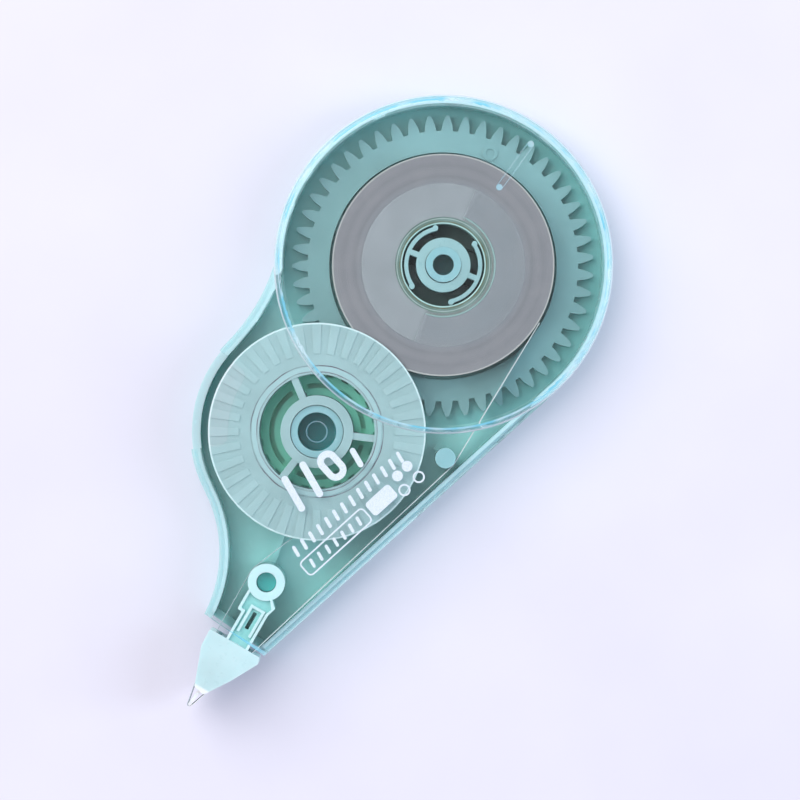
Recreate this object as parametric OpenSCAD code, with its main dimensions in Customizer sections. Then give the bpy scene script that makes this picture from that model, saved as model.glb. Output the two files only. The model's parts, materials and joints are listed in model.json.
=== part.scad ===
// Two-wheel correction tape dispenser, lying on its back shell.
// Thickness runs along Z, the tape tip points towards -X and the supply wheel is at the +X end.
// The origin is at the middle of the footprint, on the back face.

/* [Gears] */
// Tooth size of both gears (pitch diameter divided by teeth)
gear_module = 0.8; // [0.65:0.01:1]
// Teeth on the supply gear
supply_teeth = 51; // [48:1:60]
// Teeth on the take-up gear
takeup_teeth = 22; // [20:1:25]
// Thickness of both gears
gear_t = 2; // [1.6:0.1:2.8]
// Angle of the tooth flanks
pressure_angle = 20; // [18:1:22]
// Amount taken off each tooth flank so that the pair runs free
flank_gap = 0.08; // [0.05:0.01:0.12]
// Width of the toothed rim of the supply gear, measured in from its roots
supply_rim_w = 3.05; // [2:0.05:4]
// Width of the two broad spokes of the supply gear
broad_spoke_w = 7; // [4:0.5:9]
// Width of the two narrow spokes of the supply gear
narrow_spoke_w = 2.6; // [1.6:0.1:4]

/* [Case] */
// Wall thickness of both shells
wall = 1.2; // [0.9:0.05:1.6]
// Thickness of the back shell's floor
floor_t = 1.2; // [1:0.1:1.8]
// Thickness of the front shell's face
front_t = 1.2; // [1:0.1:1.8]
// Height of the round dome above the tail of the front shell
dome_rise = 1.5; // [1:0.1:2.5]
// Height of the joint between the two shells
split_z = 6.4; // [5:0.1:8]
// Height of the lap that locates one shell in the other
lap_h = 1; // [0.7:0.1:1.5]
// Room around the supply gear's teeth inside the case
drum_gap = 1.2; // [0.6:0.1:2.5]
// Room around the take-up flange inside the case
tail_gap = 1.2; // [0.8:0.1:2.5]
// Length of the nose, from the working edge back to the take-up wheel
nose_l = 42; // [38:0.2:52]
// Room between the take-up flange and the straight side of the case
edge_gap = 1.8; // [1:0.1:3]
// Depth of the hollow curve between the tail and the mouth
neck_dip = 4.38; // [2:0.02:5]
// Radius of the hollow curve between the tail and the drum
waist_r = 26.8; // [20:0.2:34]
// Angle about the supply axis between the take-up axis and the waist's cusp
cusp_turn = 52.3; // [46:0.1:58]
// Height of the lips left across the mouth
mouth_lip = 1.3; // [0.8:0.1:1.5]
// Angle that the thumb window spans on the tail
window_span = 48; // [30:1:56]
// Middle direction of the thumb window, seen from the take-up axis
window_angle = 104; // [96:1:110]
// Depth of flange edge that the thumb window bares
window_bite = 2.6; // [1.5:0.1:4]

/* [Wheels] */
// Radius of the post that carries the supply gear
supply_post_r = 2.47; // [2.2:0.01:2.9]
// Radius of the hole in the supply post
supply_hole_r = 1.47; // [1.2:0.01:1.6]
// Radius of the post that carries the take-up reel
takeup_post_r = 3.66; // [3.2:0.01:4.1]
// Radius of the hole in the take-up post
takeup_hole_r = 2.7; // [2.2:0.01:2.8]
// Thickness of the sleeve around each post
sleeve_t = 1.33; // [1.1:0.01:1.6]
// Bore radius of the supply core
core_bore_r = 5.75; // [5.5:0.05:6.5]
// Wall thickness of the supply core
core_t = 1.6; // [1:0.1:2.2]
// Outer radius of the take-up core
takeup_core_r = 9.03; // [8.6:0.01:10]
// Wall thickness of the take-up core
takeup_core_t = 0.97; // [0.7:0.01:1.3]
// Radius of the take-up flange
flange_r = 15.2; // [12.6:0.1:18.4]
// Thickness of the take-up flange
flange_t = 0.6; // [0.5:0.05:0.9]
// Number of thumb ribs on the take-up flange
flange_ribs = 36; // [24:1:48]
// Length of each thumb rib, in from the flange edge
flange_rib_l = 4.3; // [2.5:0.1:5]
// Height of the thumb ribs
flange_rib_h = 0.15; // [0.1:0.05:0.4]
// Angle that each clutch arm spans on either side of its spoke
clutch_sweep = 56; // [40:1:64]
// Thickness of the clutch arms
clutch_arm_t = 0.55; // [0.4:0.05:0.7]

/* [Tape] */
// Width of the tape
tape_w = 5; // [4:0.1:6]
// Thickness of the drawn ribbon
tape_t = 0.1; // [0.06:0.01:0.2]
// Room between the full roll and the carrier on the take-up core
roll_room = 4.2; // [3:0.1:8]
// Thickness of used carrier wound on the take-up core
used_t = 0.45; // [0.2:0.05:4]
// Share of the winding's depth that the film washers cover
film_cover = 0.5; // [0.3:0.05:0.9]
// Thickness of the film washers
film_t = 0.1; // [0.08:0.01:0.14]
// Radius of the guide pin
guide_pin_r = 1.42; // [1.1:0.01:1.7]
// Distance of the guide pin behind the take-up axis, along the straight side
guide_pin_back = 10.8; // [9:0.1:12]
// Room between the guide pin and the wall beside it
guide_pin_gap = 0.8; // [0.6:0.1:1.4]

/* [Tip] */
// Distance from the working edge to the middle of the case's mouth
mouth_back = 12.05; // [11.5:0.05:13]
// How far the mouth leans across its own height
mouth_lean = 0.9; // [0:0.1:1.4]
// Reach of the mouth to the straight side of the tip's middle plane
mouth_low = 5.65; // [5.4:0.05:6.4]
// Reach of the mouth to the curved side of the tip's middle plane
mouth_high = 4.5; // [4:0.05:5.4]
// Distance from the working edge to the tip's eye
eye_back = 20.5; // [19.5:0.1:22]
// Outer radius of the tip's eye
eye_r = 2.6; // [2.3:0.05:3]
// Radius of the peg that the eye fits over
eye_peg_r = 1.34; // [1.1:0.02:1.5]
// Depth of the peg's end below the top of the eye
eye_peg_sink = 1.8; // [0.2:0.1:3]
// Thickness of the bare blade at the working edge
blade_t = 0.5; // [0.4:0.05:0.8]
// Thickness of the tape guards on either side of the blade
guard_t = 0.7; // [0.5:0.05:0.9]

/* [Fits] */
// Radial running clearance of sleeves and cores
run_gap = 0.08; // [0.04:0.01:0.1]
// Radial clearance of pegs and keys that stay still
seat_gap = 0.06; // [0.03:0.01:0.1]
// Clearance along Z between a moving face and the face beside it
face_gap = 0.15; // [0.1:0.01:0.25]
// Free space on either side of the tape
tape_gap = 0.4; // [0.3:0.05:0.6]
// Free space under the take-up flange, where it laps over the roll
lap_gap = 0.3; // [0.25:0.05:0.5]
// Free space between the take-up flange and the front shell
front_gap = 0.45; // [0.25:0.05:0.6]
// Slack between the ribbon and what guides it
ribbon_ease = 0.03; // [0.02:0.01:0.05]
// Free space between the ribbon and the straight wall at the mouth
lip_gap = 0.1; // [0.05:0.01:0.2]

/* [Hidden] */
$fn = 96;

// Gear sizes
supply_pitch_r = gear_module * supply_teeth / 2;
takeup_pitch_r = gear_module * takeup_teeth / 2;
supply_tip_r = supply_pitch_r + gear_module;
takeup_tip_r = takeup_pitch_r + gear_module;
supply_root_r = supply_pitch_r - 1.68 * gear_module;
takeup_root_r = takeup_pitch_r - 1.25 * gear_module;
axis_gap = supply_pitch_r + takeup_pitch_r;

// Heights, from the back face upwards
bearing_pad_h = 0.25;
gear_z = floor_t + bearing_pad_h + face_gap;
gear_top = gear_z + gear_t;
tape_z = gear_top + tape_gap;
tape_top = tape_z + tape_w;
flange_z = tape_top + lap_gap;
flange_top = flange_z + flange_t + flange_rib_h;
front_z = flange_top + front_gap;
front_top = front_z + front_t;
dome_z = front_z + dome_rise;
dome_top = front_top + dome_rise;

// Outline radii and the main points
drum_r = supply_tip_r + drum_gap + wall;
tail_r = flange_r + tail_gap + wall;
edge_r = flange_r + edge_gap + wall;
tip_reach = axis_gap + nose_l;
supply_at = [(tip_reach - drum_r) / 2, 0];
tip_at = supply_at - [tip_reach, 0];
eye_at = tip_at + [eye_back, -0.77];
mouth_start = tip_at + [mouth_back - mouth_lean / 2, -mouth_low];
mouth_end = tip_at + [mouth_back + mouth_lean / 2, mouth_high];
edge_angle = heading(supply_at - mouth_start) - asin(drum_r / norm(supply_at - mouth_start));
wheel_angle = edge_angle + 180 + asin((drum_r - edge_r) / axis_gap);
takeup_at = supply_at + polar(axis_gap, wheel_angle);
cusp_at = supply_at + polar(drum_r, wheel_angle - cusp_turn);
neck_l = sqrt(pow(norm(takeup_at - mouth_end), 2) - tail_r * tail_r);
neck_r = neck_l * neck_l / (8 * neck_dip) + neck_dip / 2;
neck_at = meet(mouth_end, neck_r, takeup_at, tail_r + neck_r, 1);
waist_at = meet(takeup_at, tail_r + waist_r, cusp_at, waist_r, 1);
guide_pin_in = drum_r - wall - guide_pin_gap - guide_pin_r;
guide_pin_at = supply_at + polar(guide_pin_in, edge_angle - 90)
    - polar(axis_gap * cos(wheel_angle - 180 - edge_angle) - guide_pin_back, edge_angle);

// Tape guide corners of the tip, as [centre, radius]
blade_r = blade_t / 2;
corner_r = 0.4;
corner_inset = wall + lip_gap + tape_t + ribbon_ease + corner_r;
tip_edge = [tip_at + [blade_r + ribbon_ease + tape_t, 0], blade_r];
low_corner = [crossing(edge_point(corner_inset), edge_angle, tip_at + [mouth_back - 1.75, 0], 90), corner_r];
high_corner = [tip_at + [mouth_back - 3.1, 1.35], corner_r];

// Wheel details
ribbon_gap = 0.12;
seat_ease = 0.02;
core_r = core_bore_r + core_t;
used_r = takeup_core_r + used_t;
roll_r = axis_gap - used_r - roll_room;
film_r = core_r + film_cover * (roll_r - core_r);
supply_sleeve_r = supply_post_r + sleeve_t;
takeup_sleeve_r = takeup_post_r + run_gap + sleeve_t;
dome_edge_r = 1;
supply_post_top = tape_top + 0.4;
takeup_post_top = flange_z + 0.3;
lap_top = split_z + lap_h;
peg_bore_r = 1.4;
clutch_z = gear_top + 1.4;
clutch_top = tape_top + 0.2;
clutch_r = core_bore_r - 0.3;
spoke_angle = 98;
reel_spoke_angle = 53;
web_t = 1.2;
key_w = 1.1;
key_h = 1;
reel_key_l = 0.6;
reel_key_z = gear_z + 0.4;
reel_spoke_z = gear_top + 1.5;
cut = 0.01;

// ---- Plane geometry ----
function polar(r, a) = r * [cos(a), sin(a)];
function heading(v) = atan2(v[1], v[0]);
function left_of(v) = [-v[1], v[0]] / norm(v);
function turn(from, to) = (to - from + 540) % 360 - 180;
function arc(centre, r, from, to, steps) =
    [for (i = [0:steps]) centre + polar(r, from + (to - from) * i / steps)];
// The point r1 from c1 and r2 from c2, to the left of the line c1-c2 when side is 1
function meet(c1, r1, c2, r2, side) =
    let (d = norm(c2 - c1), a = acos((d * d + r1 * r1 - r2 * r2) / (2 * d * r1)))
    c1 + polar(r1, heading(c2 - c1) + side * a);
// Where the line through p heading along a crosses the line through q heading along b
function crossing(p, a, q, b) =
    p + polar(((q - p) * [sin(b), -cos(b)]) / sin(b - a), a);
// A closed outline of corners [x, y, radius], with each corner rounded to its radius
function rounded(corners, steps = 4) =
    let (n = len(corners))
    [for (i = [0:n - 1])
        let (
            here = [corners[i][0], corners[i][1]],
            back = heading([for (k = [0:1]) corners[(i + n - 1) % n][k]] - here),
            ahead = heading([for (k = [0:1]) corners[(i + 1) % n][k]] - here),
            half = turn(back, ahead) / 2,
            r = corners[i][2],
            middle = here + polar(r / abs(sin(half)), back + half),
            from = back - sign(half) * 90
        )
        each r == 0 ? [here] : arc(middle, r, from, from + turn(from, ahead + sign(half) * 90), steps)];

// ---- Case outline ----
// The point where the straight edge leaves the drum, moved in by inset
function edge_point(inset) = supply_at + polar(drum_r - inset, edge_angle - 90);
function mouth_angle() = heading(mouth_end - mouth_start);
function mouth_point(inset) = mouth_start + polar(inset, mouth_angle() - 90);
function mouth_low_corner(inset) =
    crossing(edge_point(inset), edge_angle, mouth_point(inset), mouth_angle());
// The neck curve's end on the mouth line, as an angle about the neck's centre
function neck_end(inset) =
    let (off = (mouth_point(inset) - neck_at) * polar(1, mouth_angle() - 90))
    mouth_angle() - 90 - acos(off / (neck_r + inset));
function mouth_high_corner(inset) = neck_at + polar(neck_r + inset, neck_end(inset));
function waist_end(inset) =
    heading(meet(waist_at, waist_r + inset, supply_at, drum_r - inset, -1) - waist_at);
function tail_path(inset) = concat(
    [supply_at, mouth_low_corner(inset) + polar(norm(edge_point(inset) - mouth_low_corner(inset)),
        edge_angle), mouth_low_corner(inset)],
    arc(neck_at, neck_r + inset, neck_end(inset), heading(takeup_at - neck_at), 14),
    arc(takeup_at, tail_r - inset, heading(neck_at - takeup_at), heading(waist_at - takeup_at), 16),
    arc(waist_at, waist_r + inset, heading(takeup_at - waist_at), waist_end(inset), 8));
module case_outline(inset) {
    translate(supply_at)
        circle(r = drum_r - inset);
    polygon(tail_path(inset));
}
module case_slab(low, high, inset) {
    translate([0, 0, low])
        linear_extrude(high - low)
            case_outline(inset);
}
module case_wall(low, high, outside, inside) {
    translate([0, 0, low])
        linear_extrude(high - low)
            difference() {
                case_outline(outside);
                case_outline(inside);
            }
}
// The space between the lips of the mouth
module mouth_cut(low, high) {
    overrun = 3;
    low_inner = mouth_low_corner(wall);
    high_inner = mouth_high_corner(wall);
    translate([0, 0, low])
        linear_extrude(high - low)
            polygon([low_inner + polar(0.4, edge_angle), low_inner - polar(overrun, edge_angle),
                high_inner - [overrun, 0], high_inner + [0.4, 0.02]]);
}
// The thumb window, through the face and the side of the tail
module window_cut(low, high) {
    inner_r = flange_r - window_bite;
    outer_r = tail_r + 2;
    half = window_span / 2;
    window_corner_r = 1.2;
    inner_bow_r = 12;
    translate(concat(takeup_at, low))
        rotate(window_angle)
            linear_extrude(high - low)
                polygon(rounded([concat(polar(outer_r, -half), 0), concat(polar(outer_r, half), 0),
                    concat(polar(inner_r, half), window_corner_r), [inner_r + 0.1, 0, inner_bow_r],
                    concat(polar(inner_r, -half), window_corner_r)], 6));
}

// ---- Shared shapes ----
module tube(outer, inner, low, high) {
    translate([0, 0, low])
        difference() {
            cylinder(r = outer, h = high - low);
            translate([0, 0, -cut])
                cylinder(r = inner, h = high - low + 2 * cut);
        }
}
module bar(from_r, to_r, w, low, high, angle) {
    rotate(angle)
        translate([from_r, -w / 2, low])
            cube([to_r - from_r, w, high - low]);
}
module plate(points, low, high) {
    translate([0, 0, low])
        linear_extrude(high - low)
            polygon(points);
}
// Involute tooth flank: the angle off the tooth's middle line at radius r
function involute(a) = tan(a) * 180 / PI - a;
function flank_angle(pitch_r, teeth, r) =
    let (
        base_r = pitch_r * cos(pressure_angle),
        half = 90 / teeth - flank_gap / pitch_r * 180 / PI
    )
    half + involute(pressure_angle) - (r > base_r ? involute(acos(base_r / r)) : 0);
function tooth(pitch_r, teeth, root_r, tip_r, middle) =
    let (
        base_r = max(root_r, pitch_r * cos(pressure_angle)),
        radii = concat(root_r < base_r ? [root_r] : [],
            [for (i = [0:3]) base_r + (tip_r - base_r) * i / 3]),
        last = len(radii) - 1
    )
    concat([for (i = [0:last]) polar(radii[i], middle - flank_angle(pitch_r, teeth, radii[i]))],
        [for (i = [0:last]) polar(radii[last - i], middle + flank_angle(pitch_r, teeth, radii[last - i]))]);
function gear_path(pitch_r, teeth, root_r, tip_r) =
    [for (i = [0:teeth - 1]) each tooth(pitch_r, teeth, root_r, tip_r, i * 360 / teeth)];

// ---- Tape route ----
// A guide is [centre, radius, side]: the ribbon passes it on its left when side is 1
function guide(centre, r, side = 1) = [centre, r + tape_t / 2, side];
function run_angle(p, q) =
    heading(q[0] - p[0]) - asin((p[2] * p[1] - q[2] * q[1]) / norm(q[0] - p[0]));
// True if a taut ribbon that passes three guides is bent by the middle one
function bends(before, middle, after) =
    turn(run_angle(before, middle), run_angle(middle, after)) * middle[2] < 0;
function wrap(p, from, to) =
    let (sweep = turn(from, to), steps = max(1, ceil(abs(sweep) / 15)))
    abs(sweep) < 0.01 ? [p[0] + polar(p[1], from + 90 * p[2])]
    : [for (i = [0:steps]) p[0] + polar(p[1], from + sweep * i / steps + 90 * p[2])];
function route(guides, start, end) =
    let (last = len(guides) - 1)
    [for (i = [0:last]) each wrap(guides[i],
        i == 0 ? start : run_angle(guides[i - 1], guides[i]),
        i == last ? end : run_angle(guides[i], guides[i + 1]))];
function beside(path, d) =
    let (last = len(path) - 1)
    [for (i = [0:last])
        let (
            before = left_of(path[max(i, 1)] - path[max(i, 1) - 1]),
            after = left_of(path[min(i, last - 1) + 1] - path[min(i, last - 1)])
        )
        path[i] + d * (before + after) / (1 + before * after)];
function ribbon(path) =
    let (back = beside(path, -tape_t / 2), last = len(path) - 1)
    concat(beside(path, tape_t / 2), [for (i = [0:last]) back[last - i]]);
roll_guide = guide(supply_at, roll_r + ribbon_gap);
pin_guide = guide(guide_pin_at, guide_pin_r + ribbon_ease);
low_guide = guide(low_corner[0], low_corner[1] + ribbon_ease);
edge_guide = guide(tip_edge[0], tip_edge[1] + ribbon_ease);
high_guide = guide(high_corner[0], high_corner[1] + ribbon_ease);
eye_guide = guide(eye_at, eye_r + ribbon_ease);
used_guide = guide(takeup_at, used_r + ribbon_gap, -1);
// Half of the small gap left between the two ribbons at the working edge, as an angle
edge_part = 6;

// ---- Case ----
module back_shell() {
    color("mediumaquamarine") {
        difference() {
            union() {
                case_slab(0, floor_t, 0);
                case_wall(0, split_z, 0, wall);
                case_wall(split_z, lap_top, wall / 2 + seat_gap, wall);
            }
            mouth_cut(floor_t + mouth_lip, lap_top + cut);
            window_cut(split_z, lap_top + cut);
        }
        wheel_post(supply_at, supply_post_r, supply_hole_r, supply_sleeve_r, supply_post_top);
        wheel_post(takeup_at, takeup_post_r, takeup_hole_r, takeup_sleeve_r, takeup_post_top);
        pin_post();
        eye_post();
    }
}
// A hollow post with the pad that its wheel turns on
module wheel_post(at, r, hole_r, pad_r, top) {
    translate(at) {
        tube(r, hole_r, floor_t - cut, top);
        tube(pad_r, r - cut, floor_t - cut, floor_t + bearing_pad_h);
    }
}
module pin_post() {
    gusset_h = 2;
    gusset_t = 0.6;
    gusset_l = guide_pin_r + 0.7;
    gusset_angle = 75;
    translate(guide_pin_at) {
        translate([0, 0, floor_t - cut])
            cylinder(r = guide_pin_r, h = front_z - face_gap - floor_t + cut);
        for (side = [0, 180])
            bar(0, gusset_l, gusset_t, floor_t - cut, floor_t + gusset_h, side + gusset_angle);
    }
}
module eye_post() {
    rib_w = 0.7;
    rib_l = 7.6;
    rib_angle = 12;
    post_top = head_z() - seat_gap;
    translate(eye_at) {
        translate([0, 0, floor_t - cut])
            cylinder(r = eye_r, h = post_top - floor_t + cut);
        cylinder(r = eye_peg_r, h = eye_top() - eye_peg_sink);
        bar(0, rib_l, rib_w, floor_t - cut, post_top - 0.3, rib_angle);
    }
}
module front_shell() {
    peg_z = split_z + 0.6;
    color([0.8, 0.93, 0.96, 0.5]) {
        difference() {
            union() {
                case_wall(split_z, front_z, 0, wall);
                case_slab(front_z, front_top, 0);
                translate(supply_at) {
                    tube(drum_r, drum_r - wall, front_z, dome_top - dome_edge_r);
                    dome_top_disc();
                }
            }
            case_wall(split_z - cut, lap_top + seat_gap, wall / 2, wall + 1);
            translate(concat(supply_at, front_z - cut))
                cylinder(r = drum_r - wall, h = dome_z - front_z + cut);
            mouth_cut(split_z - cut, front_z - 0.4);
            window_cut(split_z - cut, front_top + cut);
            dome_groove();
        }
        translate(supply_at) {
            translate([0, 0, peg_z])
                cylinder(r = supply_hole_r - seat_gap, h = dome_z - peg_z + cut);
            tube(supply_post_r, supply_hole_r - seat_gap - cut, supply_post_top + seat_gap, dome_z + cut);
        }
        translate(takeup_at)
            tube(takeup_hole_r - seat_gap, peg_bore_r, peg_z, front_z + cut);
    }
}
// The dome's face, with a rounded outer edge
module dome_top_disc() {
    rotate_extrude()
        difference() {
            translate([0, dome_z])
                square([drum_r, dome_top - dome_z]);
            translate([drum_r - dome_edge_r, dome_top - dome_edge_r])
                difference() {
                    square(dome_edge_r + cut);
                    circle(r = dome_edge_r);
                }
        }
}
// A shallow index groove across the dome
module dome_groove() {
    groove_w = 0.9;
    groove_angle = -6;
    groove_from = 13.2;
    groove_to = drum_r - wall - 1.8;
    depth = 0.4;
    translate(concat(supply_at, dome_top - depth))
        rotate(groove_angle) {
            translate([groove_from, -groove_w / 2, 0])
                cube([groove_to - groove_from, groove_w, depth + cut]);
            for (r = [groove_from, groove_to])
                translate([r, 0, 0])
                    cylinder(r = groove_w / 2, h = depth + cut, $fn = 32);
        }
}

// ---- Tip ----
guard_gap = 0.3;
blade_l = 3.2;
stem_end = eye_back - 2;
function head_z() = tape_z - guard_gap - guard_t;
function head_top() = tape_top + guard_gap + guard_t;
function eye_top() = head_top() - 0.2;
function on_tip(x, y, r = 0) = [tip_at[0] + x, tip_at[1] + y, r];
module tip_head() {
    guard_back = mouth_back - 1.1;
    guard = [on_tip(guard_back, 2.8, 0.3), on_tip(guard_back - 2.6, 2.7, 1),
        on_tip(2.9, 0.67, 0.4), on_tip(2.5, -1, 0.4), on_tip(6, -3.3, 1),
        on_tip(guard_back - 0.9, -mouth_low + 0.15, 0.2), on_tip(guard_back, -mouth_low + 0.5, 0.2)];
    blade_turn = heading((low_corner[0] + high_corner[0]) / 2 - tip_edge[0]);
    blade_end = tip_edge[0] + polar(blade_l, blade_turn);
    wedge = concat(
        [blade_end + polar(blade_r, blade_turn + 90)],
        arc(tip_edge[0], blade_r, blade_turn + 90, blade_turn + 270, 6),
        [blade_end + polar(blade_r, blade_turn - 90)],
        arc(low_corner[0], low_corner[1], 250, 300, 2),
        [[tip_at[0] + guard_back, low_corner[0][1] + corner_r], tip_at + [guard_back, 0.9]],
        arc(high_corner[0], high_corner[1], 80, 100, 2));
    color("paleturquoise")
        difference() {
            union() {
                plate(rounded(guard), head_z(), head_z() + guard_t);
                plate(rounded(guard), head_top() - guard_t, head_top());
                plate(wedge, tape_z, tape_top);
                blade_root(wedge);
                stem(guard_back - 1);
                translate(concat(eye_at, head_z()))
                    cylinder(r = eye_r, h = eye_top() - head_z());
            }
            translate(concat(eye_at, head_z() - 1))
                cylinder(r = eye_peg_r + seat_gap, h = head_top() - head_z() + 2);
        }
}
// The thicker part of the wedge, which joins the blade to both guards
module blade_root(wedge) {
    reach = 20;
    intersection() {
        plate(wedge, head_z(), head_top());
        translate([tip_edge[0][0] + blade_l, -reach, 0])
            cube([reach, 2 * reach, reach]);
    }
}
// The stem between the blade and the eye, moved in by inset all round
function stem_path(from, inset) =
    let (x = stem_end, low = -3.3 + inset, high = 0.2 - inset)
    rounded([on_tip(from, high), on_tip(15.3 + inset, high, 0.2), on_tip(15.3 + inset, 0.9 - inset, 0.2),
        on_tip(x, 0.9 - inset, 0.3), on_tip(x + 0.6 - inset, -2.4, 0.2),
        on_tip(x - 0.6 - inset, -3.7 + inset, 0.2), on_tip(x - 1.9, low, 0.4), on_tip(from, low)]);
// A tray with a border, a square rib open towards the mouth and a slot through its middle
module stem(from) {
    border = 0.4;
    depth = 0.5;
    rib_from = mouth_back + 0.6;
    rib_to = mouth_back + 4.8;
    slot = [on_tip(rib_from + 0.8, -1.85, 0.1), on_tip(rib_to - 0.8, -1.85, 0.1),
        on_tip(rib_to - 0.8, -1.3, 0.1), on_tip(rib_from + 0.8, -1.3, 0.1)];
    difference() {
        union() {
            plate(stem_path(from, 0), head_z(), eye_top() - depth);
            difference() {
                plate(stem_path(from, 0), eye_top() - depth - cut, eye_top());
                plate(stem_path(from - 1, border), eye_top() - depth - 2 * cut, eye_top() + cut);
            }
            stem_rib(rib_from, rib_to, eye_top() - depth - cut, eye_top());
        }
        plate(rounded(slot), head_z() - cut, eye_top() + cut);
    }
}
module stem_rib(from, to, low, high) {
    rib_w = 0.4;
    rib_low = -2.75;
    rib_high = -0.5;
    translate([tip_at[0], tip_at[1], low]) {
        for (y = [rib_low, rib_high - rib_w])
            translate([from, y, 0])
                cube([to - from, rib_w, high - low]);
        translate([to - rib_w, rib_low, 0])
            cube([rib_w, rib_high - rib_low, high - low]);
    }
}

// ---- Tape between the wheels ----
module feed_tape() {
    corner = bends(pin_guide, low_guide, edge_guide) ? [low_guide] : [];
    color("white")
        plate(ribbon(route(concat([roll_guide, pin_guide], corner, [edge_guide]),
            run_angle(roll_guide, pin_guide), 90 + edge_part)), tape_z, tape_top);
}
module return_tape() {
    color("lightcyan")
        plate(ribbon(route([edge_guide, high_guide, eye_guide, used_guide],
            90 - edge_part, run_angle(eye_guide, used_guide))), tape_z, tape_top);
}

// ---- Supply wheel ----
module supply_gear() {
    rim_r = supply_root_r - supply_rim_w;
    seat_r = core_r + 0.3;
    mesh_angle = wheel_angle + 180 / supply_teeth;
    color("cadetblue")
        translate(supply_at) {
            translate([0, 0, gear_z])
                linear_extrude(gear_t)
                    difference() {
                        rotate(mesh_angle)
                            polygon(gear_path(supply_pitch_r, supply_teeth, supply_root_r, supply_tip_r));
                        circle(r = rim_r);
                    }
            tube(seat_r, core_bore_r + face_gap, gear_z, gear_top);
            tube(supply_sleeve_r, supply_post_r + run_gap, gear_z, gear_z + web_t);
            key_slots(supply_sleeve_r, supply_post_r + run_gap);
            for (turn_by = [0, 180]) {
                bar(supply_sleeve_r - 0.3, rim_r + 0.3, narrow_spoke_w, gear_z, gear_z + web_t,
                    spoke_angle + turn_by);
                bar(supply_sleeve_r - 0.3, rim_r + 0.3, broad_spoke_w, gear_z, gear_z + web_t,
                    spoke_angle - 90 + turn_by);
            }
            index_ring(rim_r);
        }
}
// The upper part of the supply sleeve, slotted for the clutch's keys
module key_slots(outer, inner) {
    difference() {
        tube(outer, inner, gear_z + 0.5, clutch_z);
        for (turn_by = [0, 180])
            bar(inner - 0.5, outer + 0.5, key_w + 2 * seat_gap, clutch_z - key_h - seat_gap, clutch_z + cut,
                spoke_angle + turn_by);
    }
}
// A small raised ring on the gear's rim
module index_ring(rim_r) {
    ring_angle = 7.4;
    ring_r = 1.1;
    rotate(ring_angle)
        translate([rim_r + ring_r + 0.15, 0, 0])
            tube(ring_r, ring_r - 0.5, gear_top - cut, gear_top + 0.2);
}
module slip_clutch() {
    arm_spoke_w = 0.75;
    color("azure")
        translate(supply_at) {
            tube(supply_sleeve_r, supply_post_r + run_gap, clutch_z, clutch_top);
            for (turn_by = [0, 180])
                rotate(spoke_angle + turn_by) {
                    bar(supply_post_r + run_gap + 0.2, supply_sleeve_r, key_w, clutch_z - key_h,
                        clutch_z + 0.2, 0);
                    bar(supply_sleeve_r - 0.2, clutch_r - 0.1, arm_spoke_w, clutch_z, clutch_top, 0);
                    clutch_arm();
                }
        }
}
// One springy arm on either side of its spoke, with a bump at each free end
module clutch_arm() {
    inner = clutch_r - clutch_arm_t;
    bump_r = (core_bore_r - run_gap - inner) / 2;
    plate(concat(arc([0, 0], clutch_r, -clutch_sweep, clutch_sweep, 16),
        arc([0, 0], inner, clutch_sweep, -clutch_sweep, 16)), clutch_z, clutch_top);
    for (side = [-1, 1])
        rotate(side * clutch_sweep)
            translate([inner + bump_r, 0, clutch_z])
                cylinder(r = bump_r, h = clutch_top - clutch_z, $fn = 32);
}
module supply_core() {
    color("lightblue")
        translate(supply_at)
            tube(core_r, core_bore_r, gear_top + face_gap, tape_top);
}
module supply_roll() {
    color("thistle")
        translate(supply_at)
            tube(roll_r, core_r + seat_ease, tape_z, tape_top);
}
// A thin ring of film that keeps the winding flat
module film_washer(hole_r, low) {
    color("aliceblue")
        translate(supply_at)
            tube(film_r, hole_r, low, low + film_t);
}
module rear_film_washer() {
    film_washer(core_r + seat_gap, tape_z - film_t - seat_ease);
}
module front_film_washer() {
    film_washer(core_r - core_t / 2.5, tape_top + seat_ease);
}

// ---- Take-up wheel ----
module takeup_reel() {
    core_inner = takeup_core_r - takeup_core_t;
    spoke_t = 1;
    color("powderblue")
        translate(takeup_at) {
            tube(takeup_sleeve_r, takeup_post_r + run_gap, gear_z, flange_top);
            tube(takeup_core_r, core_inner, gear_top + seat_gap, flange_top);
            tube(flange_r, core_inner, flange_z, flange_z + flange_t);
            for (i = [0:2])
                bar(takeup_sleeve_r - 0.2, core_inner + 0.2, spoke_t, reel_spoke_z, flange_top - 0.2,
                    reel_spoke_angle + i * 120);
            for (i = [0:2])
                bar(takeup_sleeve_r - 0.2, takeup_sleeve_r + reel_key_l, key_w, reel_key_z, reel_spoke_z,
                    reel_spoke_angle + i * 120);
            thumb_ribs();
        }
}
module thumb_ribs() {
    outer = flange_r - 0.1;
    inner = flange_r - flange_rib_l;
    pitch = 360 / flange_ribs;
    for (i = [0:flange_ribs - 1])
        rotate(i * pitch)
            plate([polar(inner, -pitch / 4), polar(outer, -pitch / 4), polar(outer, pitch / 4),
                polar(inner, pitch / 4)], flange_z + flange_t - cut, flange_top);
}
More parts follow.
